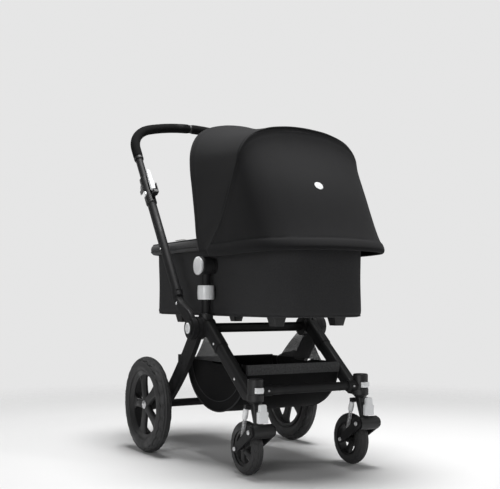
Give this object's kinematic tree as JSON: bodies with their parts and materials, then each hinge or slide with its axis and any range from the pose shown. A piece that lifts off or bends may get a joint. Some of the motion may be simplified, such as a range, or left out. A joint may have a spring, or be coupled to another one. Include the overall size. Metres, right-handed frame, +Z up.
{
  "type": "baby stroller",
  "caption": "Carrycot stroller with sprung swivelling front casters, large rear wheels, folding rear frame and a telescopic handle that turns over.",
  "frame": {"origin": "on the ground under the middle of the stroller's box", "axes": "+Z up, the front faces -Y, +X is the stroller's left as the parent stands behind the handle"},
  "size_m": [0.576, 0.962, 1.0951],
  "materials": {
    "frame_paint": "satin black paint",
    "black_plastic": "fine matt grain",
    "white_plastic": "gloss",
    "tyre_rubber": "matt rubber",
    "canopy_cloth": "tight plain weave",
    "cot_cloth": "plain weave",
    "rim_cloth": "brushed melange",
    "mattress_cloth": "soft jersey",
    "grip_foam": "foam",
    "bright_metal": "polished"
  },
  "bodies": {
    "chassis": {"cross_bar": "frame_paint", "hub_housings": "black_plastic", "right_front_leg": "frame_paint", "left_front_leg": "frame_paint", "leg_sleeves": "frame_paint", "frame_pins": "bright_metal", "caster_housings": "black_plastic", "front_bar": "frame_paint", "riser_tubes": "frame_paint", "seat_adapters": "black_plastic", "basket": "cot_cloth"},
    "rear_frame": {"rear_axle": "frame_paint", "right_rear_leg": "frame_paint", "left_rear_leg": "frame_paint"},
    "handle": {"right_handle_arm": "frame_paint", "left_handle_arm": "frame_paint", "right_clamp_body": "black_plastic", "left_clamp_body": "black_plastic"},
    "handle_top": {"upper_bar": "frame_paint", "handle_grips": "grip_foam"},
    "brake_lever": {"brake_lever": "white_plastic"},
    "carrycot": {"carrycot_shell": "cot_cloth", "carrycot_rim": "rim_cloth", "cot_brackets": "black_plastic", "mattress": "mattress_cloth", "apron": "cot_cloth", "carrycot_feet": "black_plastic", "canopy_clamps": "black_plastic", "arch_hoop": "bright_metal", "canopy_front": "canopy_cloth"},
    "canopy_mouth": {"mouth_hoop": "bright_metal", "canopy_top": "canopy_cloth"},
    "right_rear_wheel": {"right_rear_tyre": "tyre_rubber", "right_rear_rim": "black_plastic", "right_rear_cap": "bright_metal"},
    "right_caster": {"right_caster_fork": "black_plastic", "right_caster_springs": "bright_metal"},
    "right_swing_arm": {"right_swing_arm": "frame_paint"},
    "right_front_wheel": {"right_front_tyre": "tyre_rubber", "right_front_rim": "black_plastic"},
    "right_wheel_catch": {"right_wheel_catch": "white_plastic"},
    "right_swivel_lock": {"right_swivel_lock": "white_plastic"},
    "right_release_ring": {"right_release_ring": "white_plastic"},
    "right_adapter_button": {"right_adapter_button": "white_plastic"},
    "right_hub_button": {"right_hub_button": "white_plastic"},
    "right_clamp_lever": {"right_clamp_lever": "white_plastic"},
    "left_rear_wheel": {"left_rear_tyre": "tyre_rubber", "left_rear_rim": "black_plastic", "left_rear_cap": "bright_metal"},
    "left_caster": {"left_caster_fork": "black_plastic", "left_caster_springs": "bright_metal"},
    "left_swing_arm": {"left_swing_arm": "frame_paint"},
    "left_front_wheel": {"left_front_tyre": "tyre_rubber", "left_front_rim": "black_plastic"},
    "left_wheel_catch": {"left_wheel_catch": "white_plastic"},
    "left_swivel_lock": {"left_swivel_lock": "white_plastic"},
    "left_release_ring": {"left_release_ring": "white_plastic"},
    "left_adapter_button": {"left_adapter_button": "white_plastic"},
    "left_hub_button": {"left_hub_button": "white_plastic"},
    "left_clamp_lever": {"left_clamp_lever": "white_plastic"}
  },
  "joints": [
    {"name": "rear_frame_fold", "type": "hinge", "parent": "chassis", "child": "rear_frame", "pos_m": [0, -0.029, 0.395], "axis": [-1, 0, 0], "range_deg": [0, 36]},
    {"name": "handle_turn_over", "type": "hinge", "parent": "chassis", "child": "handle", "pos_m": [0, -0.029, 0.395], "axis": [1, 0, 0], "range_deg": [0, 68]},
    {"name": "handle_height", "type": "slide", "parent": "handle", "child": "handle_top", "axis": [0, 0.5592, 0.829], "range_m": [-0.08, 0]},
    {"name": "brake_lever_pull", "type": "hinge", "parent": "handle", "child": "brake_lever", "pos_m": [-0.226, 0.24852, 0.83505], "axis": [1, 0, 0], "range_deg": [0, 35]},
    {"name": "carrycot_lift", "type": "slide", "parent": "chassis", "child": "carrycot", "axis": [0, 0, 1], "range_m": [0, 0.03]},
    {"name": "canopy_fold", "type": "hinge", "parent": "carrycot", "child": "canopy_mouth", "pos_m": [0, -0.041, 0.612], "axis": [1, 0, 0], "range_deg": [0, 40], "deforming": ["canopy_top"]},
    {"name": "right_rear_wheel_spin", "type": "hinge", "parent": "rear_frame", "child": "right_rear_wheel", "pos_m": [-0.264, 0.205, 0.15], "axis": [1, 0, 0], "continuous": true},
    {"name": "right_caster_swivel", "type": "hinge", "parent": "chassis", "child": "right_caster", "pos_m": [-0.1746, -0.318, 0.23], "axis": [0, 0, 1], "continuous": true},
    {"name": "right_suspension", "type": "hinge", "parent": "right_caster", "child": "right_swing_arm", "pos_m": [-0.1746, -0.35, 0.128], "axis": [1, 0, 0], "range_deg": [0, 7], "stiffness_Nm_per_rad": 90, "springref_deg": -6.88, "deforming": ["right_caster_springs"]},
    {"name": "right_front_wheel_spin", "type": "hinge", "parent": "right_swing_arm", "child": "right_front_wheel", "pos_m": [-0.1746, -0.272, 0.074], "axis": [1, 0, 0], "continuous": true},
    {"name": "right_wheel_catch_press", "type": "slide", "parent": "right_caster", "child": "right_wheel_catch", "axis": [0, 0, -1], "range_m": [0, 0.0025], "stiffness_N_per_m": 400, "springref_m": -0.003},
    {"name": "right_swivel_lock_slide", "type": "slide", "parent": "chassis", "child": "right_swivel_lock", "axis": [0, 0, -1], "range_m": [0, 0.006]},
    {"name": "right_release_ring_slide", "type": "slide", "parent": "chassis", "child": "right_release_ring", "axis": [0, 0, 1], "range_m": [0, 0.012], "stiffness_N_per_m": 250, "springref_m": -0.004},
    {"name": "right_adapter_button_press", "type": "slide", "parent": "chassis", "child": "right_adapter_button", "axis": [1, 0, 0], "range_m": [0, 0.0035], "stiffness_N_per_m": 500, "springref_m": -0.003},
    {"name": "right_hub_button_press", "type": "slide", "parent": "handle", "child": "right_hub_button", "axis": [1, 0, 0], "range_m": [0, 0.003], "stiffness_N_per_m": 500, "springref_m": -0.003},
    {"name": "right_clamp_lever_open", "type": "hinge", "parent": "handle", "child": "right_clamp_lever", "pos_m": [-0.23, 0.31421, 0.82693], "axis": [-1, 0, 0], "range_deg": [0, 80]},
    {"name": "left_rear_wheel_spin", "type": "hinge", "parent": "rear_frame", "child": "left_rear_wheel", "pos_m": [0.264, 0.205, 0.15], "axis": [1, 0, 0], "continuous": true},
    {"name": "left_caster_swivel", "type": "hinge", "parent": "chassis", "child": "left_caster", "pos_m": [0.1746, -0.318, 0.23], "axis": [0, 0, 1], "continuous": true},
    {"name": "left_suspension", "type": "hinge", "parent": "left_caster", "child": "left_swing_arm", "pos_m": [0.1746, -0.35, 0.128], "axis": [1, 0, 0], "range_deg": [0, 7], "stiffness_Nm_per_rad": 90, "springref_deg": -6.88, "deforming": ["left_caster_springs"]},
    {"name": "left_front_wheel_spin", "type": "hinge", "parent": "left_swing_arm", "child": "left_front_wheel", "pos_m": [0.1746, -0.272, 0.074], "axis": [1, 0, 0], "continuous": true},
    {"name": "left_wheel_catch_press", "type": "slide", "parent": "left_caster", "child": "left_wheel_catch", "axis": [0, 0, -1], "range_m": [0, 0.0025], "stiffness_N_per_m": 400, "springref_m": -0.003},
    {"name": "left_swivel_lock_slide", "type": "slide", "parent": "chassis", "child": "left_swivel_lock", "axis": [0, 0, -1], "range_m": [0, 0.006]},
    {"name": "left_release_ring_slide", "type": "slide", "parent": "chassis", "child": "left_release_ring", "axis": [0, 0, 1], "range_m": [0, 0.012], "stiffness_N_per_m": 250, "springref_m": -0.004},
    {"name": "left_adapter_button_press", "type": "slide", "parent": "chassis", "child": "left_adapter_button", "axis": [-1, 0, 0], "range_m": [0, 0.0035], "stiffness_N_per_m": 500, "springref_m": -0.003},
    {"name": "left_hub_button_press", "type": "slide", "parent": "handle", "child": "left_hub_button", "axis": [-1, 0, 0], "range_m": [0, 0.003], "stiffness_N_per_m": 500, "springref_m": -0.003},
    {"name": "left_clamp_lever_open", "type": "hinge", "parent": "handle", "child": "left_clamp_lever", "pos_m": [0.23, 0.31421, 0.82693], "axis": [-1, 0, 0], "range_deg": [0, 80]}
  ]
}
